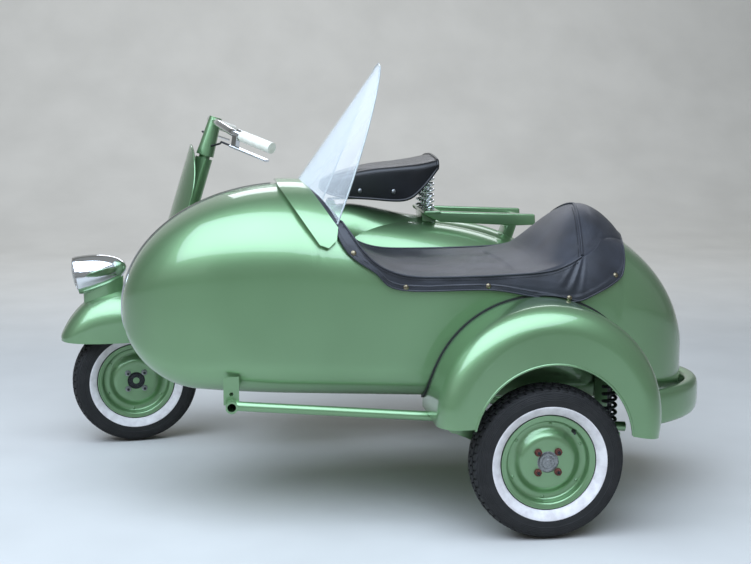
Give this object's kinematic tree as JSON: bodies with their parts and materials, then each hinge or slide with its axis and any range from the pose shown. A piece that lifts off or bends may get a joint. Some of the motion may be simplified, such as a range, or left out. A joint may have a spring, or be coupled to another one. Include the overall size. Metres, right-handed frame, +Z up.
{
  "type": "motor scooter with sidecar",
  "caption": "Classic small-wheeled motor scooter with a bullet-shaped single-seat sidecar, bent clear screen, sprung saddle and rear carrier, in pale green enamel.",
  "frame": {"origin": "middle of the outfit's overall box, on the ground", "axes": "-X points the way it drives, -Y to the sidecar on its left, +Z up"},
  "size_m": [1.7674, 1.4586, 1.142],
  "materials": {
    "green_paint": "glossy metallic pale green enamel",
    "chrome": "polished chrome",
    "lamp_glass": "clear fluted glass",
    "clear_screen": "clear bent acrylic sheet",
    "tail_lens": "moulded red",
    "tyre": "black rubber with white wall",
    "cream_grip": "moulded cream",
    "black_rubber": "matt black",
    "black_leather": "black leather",
    "black_vinyl": "black vinyl",
    "steel": "plated steel",
    "cast_alloy": "sand-cast alloy",
    "seat_board": "painted board"
  },
  "bodies": {
    "frame": {"chassis_cross_tubes": "green_paint", "chassis_rails": "green_paint", "chassis_strut": "green_paint", "cockpit_trim": "black_vinyl", "engine_arm": "cast_alloy", "engine_block": "cast_alloy", "fender_welt": "black_rubber", "floor_treads": "black_rubber", "floorboard": "green_paint", "foot_controls": "chrome", "head_tube": "green_paint", "left_cowl": "green_paint", "leg_shield": "green_paint", "nose_bead": "chrome", "rear_body": "green_paint", "rear_damper": "steel", "rear_rack": "green_paint", "right_cowl": "green_paint", "scooter_brackets": "green_paint", "screen_cowl": "green_paint", "sidecar_backrest": "black_vinyl", "sidecar_body": "green_paint", "sidecar_brackets": "green_paint", "sidecar_bumper": "green_paint", "sidecar_cushion": "black_vinyl", "sidecar_fender": "green_paint", "sidecar_seat_box": "seat_board", "sidecar_spring": "steel", "sidecar_swing_arm": "green_paint", "silencer": "steel", "tail_lamp": "tail_lens", "windscreen": "clear_screen"},
    "steering": {"fork": "green_paint", "front_link": "green_paint", "front_spring": "steel", "handlebar": "chrome", "handlebar_grips": "cream_grip", "hand_levers": "chrome", "control_cables": "black_rubber", "front_mudguard": "green_paint", "headlamp_shell": "chrome", "headlamp_glass": "lamp_glass", "headlamp_foot": "green_paint"},
    "front_wheel": {"front_tyre": "tyre", "front_rim": "green_paint", "front_hub": "steel"},
    "rear_wheel": {"rear_tyre": "tyre", "rear_rim": "green_paint", "rear_hub": "steel"},
    "sidecar_wheel": {"sidecar_tyre": "tyre", "sidecar_rim": "green_paint", "sidecar_hub": "steel"},
    "saddle": {"saddle_pad": "black_leather", "saddle_frame": "steel", "saddle_springs": "chrome"}
  },
  "joints": [
    {"name": "steering_turn", "type": "hinge", "parent": "frame", "child": "steering", "pos_m": [-0.445, 0.36, 0.861], "axis": [0.2924, 0, 0.9563], "range_deg": [-53, 37]},
    {"name": "front_wheel_spin", "type": "hinge", "parent": "steering", "child": "front_wheel", "pos_m": [-0.66586, 0.35789, 0.18996], "axis": [-0.1331, 0.9903, 0.0407], "continuous": true},
    {"name": "rear_wheel_spin", "type": "hinge", "parent": "frame", "child": "rear_wheel", "pos_m": [0.494, 0.36, 0.19], "axis": [0, 1, 0], "continuous": true},
    {"name": "sidecar_wheel_spin", "type": "hinge", "parent": "frame", "child": "sidecar_wheel", "pos_m": [0.362, -0.667, 0.19], "axis": [0, 1, 0], "continuous": true},
    {"name": "saddle_lift", "type": "hinge", "parent": "frame", "child": "saddle", "pos_m": [-0.06, 0.36, 0.728], "axis": [0, -1, 0], "range_deg": [0, 60]}
  ]
}
